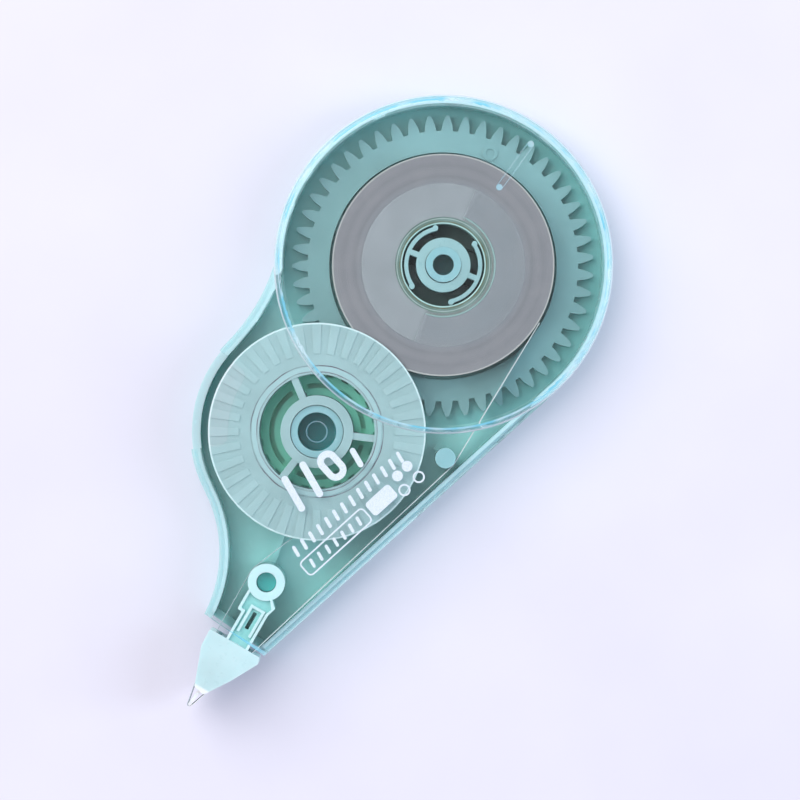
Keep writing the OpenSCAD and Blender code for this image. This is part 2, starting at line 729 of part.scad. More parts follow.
module takeup_gear() {
    bore_r = takeup_sleeve_r + seat_gap;
    hub_r = bore_r + 1;
    rim_r = takeup_root_r - 1;
    spoke_w = 2.4;
    color("cadetblue")
        translate(takeup_at)
            difference() {
                union() {
                    translate([0, 0, gear_z])
                        linear_extrude(gear_t)
                            difference() {
                                rotate(wheel_angle)
                                    polygon(gear_path(takeup_pitch_r, takeup_teeth, takeup_root_r,
                                        takeup_tip_r));
                                circle(r = rim_r);
                            }
                    tube(hub_r, bore_r, gear_z, gear_top);
                    for (i = [0:2])
                        bar(bore_r + 0.3, rim_r + 0.3, spoke_w, gear_z, gear_z + web_t,
                            reel_spoke_angle + i * 120);
                }
                for (i = [0:2])
                    bar(bore_r - 0.5, takeup_sleeve_r + reel_key_l + seat_gap, key_w + 2 * seat_gap,
                        reel_key_z - seat_gap, gear_top + cut, reel_spoke_angle + i * 120);
            }
}
module takeup_roll() {
    color("ghostwhite")
        translate(takeup_at)
            tube(used_r, takeup_core_r + seat_ease, tape_z, tape_top);
}

back_shell();
front_shell();
tip_head();
feed_tape();
return_tape();
supply_gear();
slip_clutch();
supply_core();
supply_roll();
rear_film_washer();
front_film_washer();
takeup_reel();
takeup_gear();
takeup_roll();
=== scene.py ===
"""Looks of the two-wheel correction tape dispenser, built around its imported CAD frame."""
import json
import math
import random

import bmesh
import bpy
from mathutils import Matrix, Vector


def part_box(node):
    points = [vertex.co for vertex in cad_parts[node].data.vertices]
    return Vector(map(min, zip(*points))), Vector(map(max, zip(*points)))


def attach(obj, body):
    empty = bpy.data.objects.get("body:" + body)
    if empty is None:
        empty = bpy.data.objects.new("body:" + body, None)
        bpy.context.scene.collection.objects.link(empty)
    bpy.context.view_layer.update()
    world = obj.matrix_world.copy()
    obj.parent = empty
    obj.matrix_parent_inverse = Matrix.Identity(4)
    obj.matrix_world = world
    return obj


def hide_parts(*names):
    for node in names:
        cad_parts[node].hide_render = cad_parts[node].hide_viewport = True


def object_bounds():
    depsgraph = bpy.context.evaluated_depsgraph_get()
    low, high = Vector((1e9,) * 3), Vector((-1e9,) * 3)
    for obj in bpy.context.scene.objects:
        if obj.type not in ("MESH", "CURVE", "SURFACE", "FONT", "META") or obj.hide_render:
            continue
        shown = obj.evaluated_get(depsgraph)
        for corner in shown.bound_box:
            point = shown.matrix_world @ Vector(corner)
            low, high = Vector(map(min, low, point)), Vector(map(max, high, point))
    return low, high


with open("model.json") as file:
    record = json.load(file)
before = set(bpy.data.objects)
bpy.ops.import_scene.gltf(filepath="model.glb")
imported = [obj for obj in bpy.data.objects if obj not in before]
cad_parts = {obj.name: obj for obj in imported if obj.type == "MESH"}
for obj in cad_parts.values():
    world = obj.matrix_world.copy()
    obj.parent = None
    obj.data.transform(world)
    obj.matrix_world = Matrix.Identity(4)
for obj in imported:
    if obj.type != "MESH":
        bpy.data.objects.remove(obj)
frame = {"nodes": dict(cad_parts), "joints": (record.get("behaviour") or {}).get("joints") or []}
cad_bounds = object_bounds()
NODES = frame["nodes"]
JOINTS = {j["name"]: Vector(j["pos_m"]) for j in frame["joints"]}
MM = 0.001
LEVEL = 0.9999      # a face whose normal's z passes this lies flat and is shaded flat


# ---- Places worked out from the frame ----
def reach(node, axis):
    """Outer radius of a round node about an axis, from its box."""
    low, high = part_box(node)
    return max(high[0] - axis.x, axis.x - low[0])


SUPPLY = JOINTS["supply_gear_spin"].xy
TAKEUP = JOINTS["takeup_spin"].xy
ROLL_R = reach("supply_roll", SUPPLY)
CORE_R = reach("supply_core", SUPPLY)
FILM_R = reach("front_film_washer", SUPPLY)
USED_R = reach("takeup_roll", TAKEUP)
FLANGE_R = reach("takeup_reel", TAKEUP)
DOME_H = 1.5 * MM                         # of the dome above the lid's flat face
FACE_TOP = cad_bounds[1][2] - DOME_H
EDGE_TURN = math.radians(-17.8)           # lie of the case's straight side
TIP_LOW, TIP_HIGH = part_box("tip_head")
EYE_R = 2.6 * MM
EYE_Y = -0.77 * MM
EYE_DROP = 0.2 * MM                       # of the eye's top below the tape guard's
EYE = Vector((TIP_HIGH[0] - EYE_R, EYE_Y))
EYE_TOP = TIP_HIGH[2] - EYE_DROP
BLADE_L = 3.3 * MM
BLADE_X = TIP_LOW[0] + BLADE_L
MOUTH_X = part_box("front_shell")[0][0]
GROOVE_TURN = math.radians(-6)
GROOVE_ENDS = (13.2 * MM, 20.6 * MM)      # from the supply axis
GROOVE_HALF_W = 0.46 * MM


# ---- Shader building ----
class Shader:
    """A node tree that is built by short calls."""

    def __init__(self, name):
        self.material = bpy.data.materials.new(name)
        self.material.use_nodes = True
        self.tree = self.material.node_tree
        self.tree.nodes.clear()
        self.output = self.tree.nodes.new("ShaderNodeOutputMaterial")

    def node(self, kind, inputs=None, **settings):
        """Adds a node, with its settings and what goes into its inputs."""
        made = self.tree.nodes.new("ShaderNode" + kind)
        for key, value in settings.items():
            setattr(made, key, value)
        for key, value in (inputs or {}).items():
            self.put(made.inputs[key], value)
        return made

    def put(self, socket, value):
        """Links another node's output to an input, or sets the input's value."""
        if isinstance(value, bpy.types.NodeSocket):
            self.tree.links.new(value, socket)
        else:
            socket.default_value = value

    def place(self):
        """The shaded point, in the CAD frame for a piece whose own origin is the frame's."""
        return self.node("TexCoord").outputs["Object"]

    def noise(self, scale, detail=2.0, roughness=0.5, at=None):
        """Soft noise about 0.5, with scale in lumps per metre."""
        made = self.node("TexNoise", {"Vector": at or self.place(), "Scale": scale,
                                      "Detail": detail, "Roughness": roughness})
        return made.outputs["Fac"]

    def spread(self, value, low, high, from_low=0.0, from_high=1.0, smooth=False):
        """Maps from_low..from_high onto low..high and clamps it there."""
        made = self.node("MapRange", interpolation_type="SMOOTHSTEP" if smooth else "LINEAR")
        for socket, given in zip(made.inputs, (value, from_low, from_high, low, high)):
            self.put(socket, given)
        return made.outputs["Result"]

    def mix(self, factor, first, second):
        made = self.node("Mix", data_type="RGBA")
        sockets = [i for i in made.inputs if i.enabled]
        for socket, value in zip(sockets, (factor, first, second)):
            self.put(socket, value)
        return next(o for o in made.outputs if o.enabled)

    def maths(self, operation, first, second=0.0):
        made = self.node("Math", operation=operation)
        self.put(made.inputs[0], first)
        self.put(made.inputs[1], second)
        return made.outputs["Value"]

    def blend(self, factor, first, second):
        made = self.node("MixShader", {"Fac": factor})
        self.put(made.inputs[1], first)
        self.put(made.inputs[2], second)
        return made.outputs["Shader"]

    def bump(self, height, strength, distance):
        made = self.node("Bump", {"Height": height, "Strength": strength, "Distance": distance})
        return made.outputs["Normal"]

    def along(self, axis):
        """A point's coordinate along X, Y or Z."""
        return self.node("SeparateXYZ", {"Vector": self.place()}).outputs[axis]

    def height(self):
        return self.along("Z")

    def about(self, axis):
        """Distance from an upright axis, and the turn about it."""
        apart = self.node("VectorMath", {0: self.place(), 1: (axis.x, axis.y, 0.0)}, operation="SUBTRACT")
        split = self.node("SeparateXYZ", {"Vector": apart.outputs["Vector"]})
        x, y = split.outputs["X"], split.outputs["Y"]
        square = self.maths("ADD", self.maths("MULTIPLY", x, x), self.maths("MULTIPLY", y, y))
        return self.maths("SQRT", square), self.maths("ARCTAN2", y, x)

    def slope(self):
        """How far a surface leans from lying flat: 0 flat, 1 upright."""
        normal = self.node("NewGeometry").outputs["True Normal"]
        z = self.node("SeparateXYZ", {"Vector": normal}).outputs["Z"]
        return self.maths("SUBTRACT", 1.0, self.maths("ABSOLUTE", z))

    def band(self, value, low, high, soft):
        """1 where a value lies between low and high, fading out over soft on either side."""
        rise = self.spread(value, 0.0, 1.0, low - soft, low, smooth=True)
        fall = self.spread(value, 1.0, 0.0, high, high + soft, smooth=True)
        return self.maths("MULTIPLY", rise, fall)

    def inside(self, value, limit, soft):
        """1 below a limit, fading out over soft beyond it."""
        return self.spread(value, 1.0, 0.0, limit, limit + soft, smooth=True)

    def ring(self, base, radius, low, high, colour, share=1.0, soft=0.05):
        """A ring of another colour between two radii in mm."""
        mask = self.band(radius, low * MM, high * MM, soft * MM)
        return self.mix(self.maths("MULTIPLY", mask, share), base, colour)

    def surface(self, shader):
        self.tree.links.new(shader, self.output.inputs["Surface"])
        return self.material


def rgb(red, green, blue):
    """A colour given as it looks on screen, from 0 to 255, turned into linear light."""
    def linear(value):
        share = value / 255
        return share / 12.92 if share <= 0.04045 else ((share + 0.055) / 1.055) ** 2.4
    return (linear(red), linear(green), linear(blue), 1.0)


def shade(colour, factor):
    return tuple(min(1.0, c * factor) for c in colour[:3]) + (colour[3],)


# ---- Materials ----
def plastic_parts(s, colour, roughness, grain, edge=0.5):
    """Colour, roughness and normal of moulded plastic: flow marks, dull patches and a fine grain.

    Rounded edges are given a painted highlight, paler by the share that edge gives.
    """
    flow = s.noise(160.0, 3.0, 0.55)
    fine = s.noise(5200.0, 2.0)
    marks = s.noise(900.0, 4.0, 0.65)
    base = s.mix(s.spread(flow, 0.0, 1.0, 0.35, 0.65), shade(colour, 0.94), shade(colour, 1.05))
    # Painted highlight: the leaning faces of rounded edges are mixed towards a pale colour.
    lit = s.maths("MULTIPLY", s.band(s.slope(), 0.1, 0.9, 0.06), edge)
    base = s.mix(lit, base, rgb(226, 240, 245))
    rough = s.spread(marks, roughness * 0.8, roughness * 1.3, 0.3, 0.7)
    lumps = s.maths("ADD", s.maths("MULTIPLY", fine, 0.35), marks)
    return base, rough, s.bump(lumps, grain, 0.02 * MM)


def plastic(s, base, rough, normal, glow=0.25, coat=0.0, alpha=1.0):
    """Translucent moulded plastic, closed off as the material's surface."""
    body = s.node("BsdfPrincipled", {
        "Base Color": base, "Roughness": rough, "IOR": 1.5, "Normal": normal, "Alpha": alpha,
        "Subsurface Weight": glow, "Subsurface Radius": (0.7, 1.0, 0.95), "Subsurface Scale": 1.2 * MM,
        "Coat Weight": coat, "Coat Roughness": 0.06})
    return s.surface(body.outputs["BSDF"])


def clutch_plastic():
    """Pale teal moulding with painted highlights on its edges."""
    s = Shader("clutch_plastic")
    base, rough, normal = plastic_parts(s, rgb(150, 182, 186), 0.3, 0.12, 0.7)
    return plastic(s, base, rough, normal, coat=0.2)


def tip_plastic():
    """Pale milky moulding: mint in the stem's sunken tray, a painted highlight along its border and painted
    light that whitens the blade where the guard shades it.
    """
    tray_drop = 0.35 * MM
    tray_end = EYE.x - 9.6 * MM
    s = Shader("tip_plastic")
    base, rough, normal = plastic_parts(s, rgb(192, 220, 224), 0.3, 0.12, 0.8)
    height = s.height()
    behind = s.spread(s.along("X"), 0.0, 1.0, tray_end, tray_end + 0.2 * MM)
    tray = s.maths("MULTIPLY", s.inside(height, EYE_TOP - tray_drop, 0.1 * MM), behind)
    base = s.mix(s.maths("MULTIPLY", tray, 0.85), base, rgb(140, 208, 206))
    # Painted highlight: a pale band at the height of the guard's top edge.
    border = s.band(height, EYE_TOP - 0.08 * MM, EYE_TOP + 0.05 * MM, 0.04 * MM)
    base = s.mix(s.maths("MULTIPLY", border, 0.6), base, rgb(216, 240, 246))
    # Painted light: the blade is whitened where the guard's shadow falls on it.
    blade = s.spread(s.along("X"), 1.0, 0.0, BLADE_X - 0.3 * MM, BLADE_X)
    base = s.mix(blade, base, rgb(236, 242, 246))
    return plastic(s, base, rough, normal, glow=0.5, coat=0.2)


def back_case():
    """Mint moulding with pale posts, and painted light and shade: highlights on the wall edges, paler wall
    tops, a bright green ring under the take-up reel, and shade within the drum, in the post holes and under
    the supply hub.
    """
    drum_floor_r = 22.4 * MM
    takeup_well_painted_light = (3.9, 7.9)              # radii in mm
    supply_well_painted_shade = (2.6, 6.6)
    wall_fade = (4.5 * MM, 7.0 * MM)      # heights
    rim_start = (2.2 * MM, 2.4 * MM)
    post_start = (7.45 * MM, 7.6 * MM)
    takeup_hole_r = 2.69 * MM
    supply_hole_r = 1.45 * MM
    eye_peg_r = 1.38 * MM
    s = Shader("case_back")
    base, rough, normal = plastic_parts(s, rgb(172, 228, 226), 0.22, 0.12, 0.35)
    height = s.height()
    supply_r, _ = s.about(SUPPLY)
    takeup_r, _ = s.about(TAKEUP)
    eye_r, _ = s.about(EYE)
    # Painted shade: the floor within the drum's radius is darker.
    drum = s.inside(supply_r, drum_floor_r, 0.2 * MM)
    base = s.mix(s.maths("MULTIPLY", drum, 0.7), base, rgb(126, 198, 198))
    # Painted light: a brighter green ring under the take-up reel. Painted shade: a deep green ring under
    # the supply hub.
    base = s.ring(base, takeup_r, *takeup_well_painted_light, rgb(126, 230, 200), 0.9, 0.3)
    base = s.ring(base, supply_r, *supply_well_painted_shade, rgb(40, 84, 76), 0.95, 0.8)
    # Painted light: the walls turn paler towards their tops.
    wall = s.spread(height, 0.0, 1.0, *wall_fade, smooth=True)
    base = s.mix(wall, base, rgb(196, 222, 230))
    # Painted highlight on the leaning faces of the wall edges.
    rim = s.maths("MULTIPLY", s.band(s.slope(), 0.1, 0.9, 0.06),
                  s.spread(height, 0.0, 1.0, *rim_start))
    base = s.mix(s.maths("MULTIPLY", rim, 0.9), base, rgb(228, 242, 247))
    post = s.spread(height, 0.0, 1.0, *post_start)
    base = s.mix(post, base, rgb(150, 190, 198))
    # Painted shade inside the take-up and supply post holes.
    base = s.mix(s.inside(takeup_r, takeup_hole_r, 0.02 * MM), base, rgb(8, 164, 170))
    base = s.mix(s.inside(supply_r, supply_hole_r, 0.02 * MM), base, rgb(24, 140, 146))
    base = s.mix(s.inside(eye_r, eye_peg_r, 0.05 * MM), base, rgb(70, 190, 188))
    return plastic(s, base, rough, normal, glow=0.5, coat=0.4)


def groove_highlights(s):
    """Painted highlights: lit ends and faint side lines of the index groove on the dome."""
    line_w = 0.1 * MM
    side_share = 0.4
    end_share = 0.75
    near_turn = 0.09                      # radians to either side that still count as beside the groove
    dome_edge = FACE_TOP + 0.9 * MM
    radius, turn = s.about(SUPPLY)
    across = s.maths("MULTIPLY", radius, s.maths("SINE", s.maths("SUBTRACT", turn, GROOVE_TURN)))
    sides = s.band(s.maths("ABSOLUTE", across), GROOVE_HALF_W - line_w, GROOVE_HALF_W, 0.03 * MM)
    sides = s.maths("MULTIPLY", sides, s.band(radius, *GROOVE_ENDS, 0.03 * MM))
    after = s.spread(turn, 0.0, 1.0, GROOVE_TURN - near_turn - 0.01, GROOVE_TURN - near_turn)
    before = s.spread(turn, 1.0, 0.0, GROOVE_TURN + near_turn, GROOVE_TURN + near_turn + 0.01)
    sides = s.maths("MULTIPLY", s.maths("MULTIPLY", sides, after), before)
    marks = s.maths("MULTIPLY", sides, side_share)
    along = Vector((math.cos(GROOVE_TURN), math.sin(GROOVE_TURN)))
    for reached in GROOVE_ENDS:
        end_r, _ = s.about(SUPPLY + along * reached)
        dot = s.inside(end_r, GROOVE_HALF_W - 0.04 * MM, 0.05 * MM)
        marks = s.maths("MAXIMUM", marks, s.maths("MULTIPLY", dot, end_share))
    on_dome = s.spread(s.height(), 0.0, 1.0, dome_edge, dome_edge + 0.05 * MM)
    return s.maths("MULTIPLY", marks, on_dome)


def front_case():
    """Polished clear plastic that lets lamps through.

    Cyan and white highlights are painted on its rounded edges, its peg, the mouth's lip and the index
    groove.
    """
    peg_line = (1.38 * MM, 1.5 * MM)
    lip_line = (MOUTH_X - 0.1 * MM, MOUTH_X + 0.5 * MM)
    s = Shader("case_front")
    flow = s.noise(220.0, 2.0)
    scuffs = s.noise(2600.0, 5.0, 0.7)
    rough = s.spread(scuffs, 0.015, 0.07, 0.55, 0.8)
    glass = s.node("BsdfPrincipled", {
        "Base Color": rgb(247, 254, 253), "Roughness": rough, "IOR": 1.33, "Transmission Weight": 1.0,
        "Normal": s.bump(flow, 0.08, 0.1 * MM)})
    # Painted highlights: lines on the leaning edge faces, round the peg, along the mouth's lip and at the
    # groove.
    lean = s.slope()
    inner = s.band(lean, 0.02, 0.1, 0.012)
    outer = s.band(lean, 0.42, 0.9, 0.08)
    between = s.maths("MULTIPLY", s.band(lean, 0.1, 0.42, 0.02), 0.4)
    takeup_r, _ = s.about(TAKEUP)
    peg = s.maths("MULTIPLY", s.band(takeup_r, *peg_line, 0.03 * MM), 0.3)
    lip = s.maths("MULTIPLY", s.band(s.along("X"), *lip_line, 0.1 * MM), 0.7)
    lines = s.maths("MAXIMUM", s.maths("MAXIMUM", inner, outer), s.maths("MAXIMUM", between, peg))
    lines = s.maths("MAXIMUM", lines, s.maths("MAXIMUM", lip, groove_highlights(s)))
    cool = s.mix(s.spread(flow, 0.0, 1.0, 0.4, 0.6), rgb(118, 198, 224), rgb(198, 224, 234))
    edge_light = s.mix(s.maths("MAXIMUM", outer, peg), cool, rgb(214, 228, 235))
    lit = s.node("BsdfPrincipled", {"Base Color": edge_light, "Roughness": 0.12, "IOR": 1.46})
    seen = s.blend(s.maths("MULTIPLY", lines, 0.85), glass.outputs["BSDF"], lit.outputs["BSDF"])
    through = s.node("BsdfTransparent", {"Color": rgb(250, 254, 254)})
    path = s.node("LightPath")
    lamp = s.maths("MAXIMUM", path.outputs["Is Shadow Ray"], path.outputs["Is Diffuse Ray"])
    return s.surface(s.blend(lamp, seen, through.outputs["BSDF"]))


def gear_plastic():
    """Soft teal moulding, with painted shade between the supply wheel's hub rings and painted light, a
    brighter green, inside the take-up reel.
    """
    hub_gap_painted_shade = (3.9, 6.0)                  # radii in mm
    takeup_painted_light_r = 8.2 * MM
    s = Shader("gear_plastic")
    base, rough, normal = plastic_parts(s, rgb(132, 172, 176), 0.38, 0.15, 0.4)
    supply_r, _ = s.about(SUPPLY)
    takeup_r, _ = s.about(TAKEUP)
    # Painted shade between the hub rings; painted light inside the take-up reel.
    base = s.ring(base, supply_r, *hub_gap_painted_shade, rgb(16, 60, 54), 0.96, 0.3)
    base = s.mix(s.inside(takeup_r, takeup_painted_light_r, 0.3 * MM), base, rgb(140, 234, 206))
    return plastic(s, base, rough, normal)


def clear_core():
    """Clear ring: a painted highlight at the bore edge, thin patchy olive lines, and a mint outer edge."""
    s = Shader("core_clear")
    radius, _ = s.about(SUPPLY)
    olive_patchiness = s.spread(s.noise(700.0, 3.0, 0.6), 0.35, 1.0, 0.35, 0.65)
    base = s.mix(s.spread(s.noise(300.0, 2.0), 0.0, 1.0, 0.4, 0.6), rgb(106, 128, 120), rgb(128, 150, 146))
    # Painted highlight: a pale ring at the bore edge.
    base = s.ring(base, radius, 5.7, 5.9, rgb(196, 228, 224))
    base = s.ring(base, radius, 6.02, 6.14, rgb(112, 106, 76), olive_patchiness)
    base = s.ring(base, radius, 6.45, 6.52, rgb(206, 214, 212), 0.6)
    base = s.ring(base, radius, 6.85, 6.95, rgb(116, 112, 88), olive_patchiness)
    base = s.ring(base, radius, 7.16, 7.36, rgb(168, 214, 206))
    fine = s.noise(3500.0, 3.0, 0.6)
    return plastic(s, base, s.spread(fine, 0.12, 0.3), s.bump(fine, 0.15, 0.02 * MM), alpha=0.88)


def ring_noise(s, radius, rate, detail):
    """Noise that changes with the radius alone, so that it lies in rings."""
    scaled = s.maths("MULTIPLY", radius, rate)
    return s.node("TexNoise", noise_dimensions="1D", inputs={
        "W": scaled, "Scale": 1.0, "Detail": detail}).outputs["Fac"]


def winding():
    """The wound side of the tape: fine rings, a few darker windings, faint handling smudges and a painted
    highlight along its outer rim.
    """
    s = Shader("tape_winding")
    radius, _ = s.about(SUPPLY)
    fine = ring_noise(s, radius, 9000.0, 2.0)
    bands = ring_noise(s, radius, 1100.0, 3.0)
    smudge = s.noise(260.0, 3.0, 0.6)
    grit = s.noise(9000.0, 3.0, 0.7)
    across = s.spread(radius, 0.0, 1.0, FILM_R - 1.5 * MM, FILM_R + 1.5 * MM, smooth=True)
    base = s.mix(across, rgb(136, 138, 146), rgb(133, 127, 133))
    base = s.mix(s.spread(bands, 0.0, 0.5, 0.35, 0.75), base, rgb(118, 112, 118))
    base = s.mix(s.spread(fine, 0.0, 0.4, 0.4, 0.8), base, rgb(148, 142, 147))
    base = s.mix(s.spread(smudge, 0.0, 0.35, 0.45, 0.75), base, rgb(152, 144, 148))
    base = s.mix(s.spread(grit, 0.0, 0.45, 0.55, 0.75), base, rgb(186, 180, 184))
    # Painted highlight along the roll's outer rim.
    edge = s.spread(radius, 0.0, 0.7, ROLL_R - 0.25 * MM, ROLL_R - 0.12 * MM, smooth=True)
    base = s.mix(edge, base, rgb(196, 190, 188))
    lumps = s.maths("ADD", fine, s.maths("MULTIPLY", grit, 0.5))
    body = s.node("BsdfPrincipled", {
        "Base Color": base, "Roughness": s.spread(grit, 0.55, 0.8), "IOR": 1.45,
        "Normal": s.bump(lumps, 0.5, 0.04 * MM)})
    return s.surface(body.outputs["BSDF"])


def film(name, colour, alpha, roughness=0.35, sectors=False):
    """Thin frosted film; with sectors, a washer is denser and so paler on one side and more see-through on
    the other.
    """
    s = Shader(name)
    speck = s.noise(3500.0, 3.0, 0.6)
    cloud = s.noise(240.0, 2.0)
    base = s.mix(s.spread(cloud, 0.0, 1.0, 0.3, 0.7), shade(colour, 0.94), shade(colour, 1.05))
    body = s.node("BsdfPrincipled", {
        "Base Color": base, "Roughness": s.spread(speck, roughness, roughness + 0.2), "IOR": 1.5,
        "Normal": s.bump(speck, 0.15, 0.02 * MM), "Alpha": alpha})
    if sectors:
        _, turn = s.about(SUPPLY)
        dense_side_turn = math.radians(98)
        facing = s.maths("COSINE", s.maths("SUBTRACT", turn, dense_side_turn))
        dense_side_alpha = s.spread(facing, alpha * 0.35, alpha, -0.15, 0.05, smooth=True)
        s.put(body.inputs["Alpha"], dense_side_alpha)
    return s.surface(body.outputs["BSDF"])


def frosted_reel():
    """Frosted moulding: painted light and shade in faint bright and dull sectors over the thumb ribs, a
    painted highlight on the rim, and thin violet lines round its core.
    """
    sectors = 36.0
    sector_start = 10.8 * MM
    rim_w = 0.2                           # this and the rings in mm
    core_band = (8.5, 9.1)
    outer_line = (9.2, 9.3)
    inner_line = (8.34, 8.42)
    s = Shader("reel_frosted")
    base, rough, normal = plastic_parts(s, rgb(168, 192, 196), 0.5, 0.25, 0.35)
    radius, turn = s.about(TAKEUP)
    # Painted light and shade: alternate sectors paler, standing in for light on the thumb ribs.
    sector = s.maths("COSINE", s.maths("MULTIPLY", turn, sectors))
    rib_sector_light = s.maths("MULTIPLY", s.spread(sector, 0.0, 0.14, -0.3, 0.3, smooth=True),
                     s.spread(radius, 0.0, 1.0, sector_start, sector_start + 0.2 * MM))
    base = s.mix(rib_sector_light, base, rgb(202, 226, 230))
    # Painted highlight on the flange's rim.
    base = s.ring(base, radius, FLANGE_R / MM - rim_w, FLANGE_R / MM, rgb(222, 240, 244))
    wander = s.spread(s.noise(260.0, 2.0), -0.07 * MM, 0.07 * MM, 0.3, 0.7)
    uneven = s.maths("ADD", radius, wander)
    faded = s.spread(s.noise(180.0, 2.0), 0.2, 1.0, 0.4, 0.6)
    base = s.ring(base, uneven, *core_band, rgb(196, 226, 232), 0.3)
    base = s.ring(base, uneven, *outer_line, rgb(104, 92, 108), faded)
    base = s.ring(base, uneven, *inner_line, rgb(120, 104, 118), faded)
    return plastic(s, base, rough, normal, glow=0.35, alpha=0.9)


def white_tape():
    """White correction film: matt, with faint streaks along its width."""
    s = Shader("tape_white")
    stretched = s.node("Mapping", {"Vector": s.place(), "Scale": (1.0, 1.0, 12.0)}).outputs["Vector"]
    streaks = s.noise(700.0, 4.0, 0.7, stretched)
    fine = s.noise(8000.0, 2.0)
    base = s.mix(s.spread(streaks, 0.0, 1.0, 0.35, 0.65), rgb(216, 220, 224), rgb(236, 238, 240))
    body = s.node("BsdfPrincipled", {
        "Base Color": base, "Roughness": s.spread(fine, 0.45, 0.65), "IOR": 1.45,
        "Normal": s.bump(s.maths("ADD", streaks, fine), 0.2, 0.02 * MM)})
    return s.surface(body.outputs["BSDF"])


def print_ink():
    """Screen-printed ink with pinholes."""
    s = Shader("print_ink")
    holes = s.noise(6500.0, 3.0, 0.6)
    base = s.mix(s.spread(holes, 0.0, 1.0, 0.3, 0.6), rgb(196, 212, 224), rgb(222, 230, 240))
    body = s.node("BsdfPrincipled", {
        "Base Color": base, "Roughness": s.spread(holes, 0.35, 0.55), "IOR": 1.5,
        "Normal": s.bump(holes, 0.2, 0.01 * MM)})
    return s.surface(body.outputs["BSDF"])


def make_materials():
    return {
        "case_back": back_case(),
        "case_front": front_case(),
        "tip": tip_plastic(),
        "gear": gear_plastic(),
        "clutch": clutch_plastic(),
        "core": clear_core(),
        "winding": winding(),
        "film": film("washer_film", rgb(179, 178, 184), 0.5, sectors=True),
        "reel": frosted_reel(),
        "white": white_tape(),
        "carrier": film("carrier_film", rgb(190, 204, 210), 0.7, 0.25),
        "used": film("carrier_edge", rgb(120, 120, 132), 0.8, 0.3),
        "ink": print_ink(),
    }


# ---- Refining the CAD nodes ----
WELD_GAP = 0.002 * MM
FLAT_ANGLE = math.radians(0.6)      # faces that meet at less than this become one
SHARP_ANGLE = math.radians(32)      # edges sharper than this are rounded


def refine(name, material, bevel, segments=2):
    """Rounds a CAD node's edges by modifiers, with the bevel's width in mm, and gives it a material."""
    o = NODES[name]
    o.data.materials.clear()
    o.data.materials.append(material)
    weld = o.modifiers.new("weld", "WELD")
    weld.merge_threshold = WELD_GAP
    plain = o.modifiers.new("flat", "DECIMATE")
    plain.decimate_type = "DISSOLVE"
    plain.angle_limit = FLAT_ANGLE
    edges = o.modifiers.new("edges", "BEVEL")
    edges.width = bevel * MM
    edges.segments = segments
    edges.limit_method = "ANGLE"
    edges.angle_limit = SHARP_ANGLE
    for face in o.data.polygons:
        face.use_smooth = abs(face.normal.z) < LEVEL
    normals = o.modifiers.new("normals", "WEIGHTED_NORMAL")
    normals.keep_sharp = True
    normals.weight = 60


def dress_nodes(mats):
    refine("back_shell", mats["case_back"], 0.25, 3)
    refine("front_shell", mats["case_front"], 0.3, 3)
    refine("tip_head", mats["tip"], 0.12)
    refine("supply_gear", mats["gear"], 0.09)
    refine("slip_clutch", mats["clutch"], 0.08)
    refine("supply_core", mats["core"], 0.12)
    refine("rear_film_washer", mats["film"], 0.02)
    refine("front_film_washer", mats["film"], 0.02)
    refine("takeup_reel", mats["reel"], 0.08)
    refine("takeup_gear", mats["gear"], 0.09)
    refine("feed_tape", mats["white"], 0.01, 1)
    refine("return_tape", mats["carrier"], 0.01, 1)


# ---- Pieces made here ----
def new_piece(name, shape, body, material, smooth=True):
    """A piece that rides on a body, with its mesh drawn by shape."""
    bm = bmesh.new()
    shape(bm)
    bmesh.ops.recalc_face_normals(bm, faces=bm.faces)
    mesh = bpy.data.meshes.new(name)
    bm.to_mesh(mesh)
    bm.free()
    for face in mesh.polygons:
        face.use_smooth = smooth
    mesh.materials.append(material)
    piece = bpy.data.objects.new(name, mesh)
    bpy.context.scene.collection.objects.link(piece)
    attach(piece, body)
    return piece


def lathe(bm, axis, profile, sides):
    """A closed ring: profile is a loop of (radius, height) points, turned about an upright axis."""
    rings = []
    for i in range(sides):
        turn = 2 * math.pi * i / sides
        way = Vector((math.cos(turn), math.sin(turn)))
        rings.append([bm.verts.new((*(axis + r * way), z)) for r, z in profile])
    count = len(profile)
    for i in range(sides):
        here, ahead = rings[i], rings[(i + 1) % sides]
        for k in range(count):
            n = (k + 1) % count
            bm.faces.new((here[k], ahead[k], ahead[n], here[n]))


def wound_profile(inner, outer, low, high, step, depth, seed):
    """A winding's section, with its sides slightly uneven from turn to turn."""
    dice = random.Random(seed)
    count = round((outer - inner) / step)
    stops = [inner + (outer - inner) * k / count for k in range(count + 1)]
    top, bottom = [], []
    for a, b in zip(stops, stops[1:]):
        sink = depth * dice.random()
        top += [(a, high - sink), (b, high - sink)]
        bottom = [(b, low + sink), (a, low + sink)] + bottom
    return top + bottom


def make_supply_roll(mats):
    """The wound tape, as a ring whose windings end a little unevenly."""
    low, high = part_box("supply_roll")
    bore_r = CORE_R + 0.02 * MM
    winding_t = 0.1 * MM
    unevenness = 0.025 * MM
    sides = 288

    def shape(bm):
        section = wound_profile(bore_r, ROLL_R, low[2], high[2], winding_t, unevenness, 7)
        lathe(bm, SUPPLY, section, sides)
    piece = new_piece("wound_tape", shape, "spool", mats["winding"], smooth=False)
    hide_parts("supply_roll")


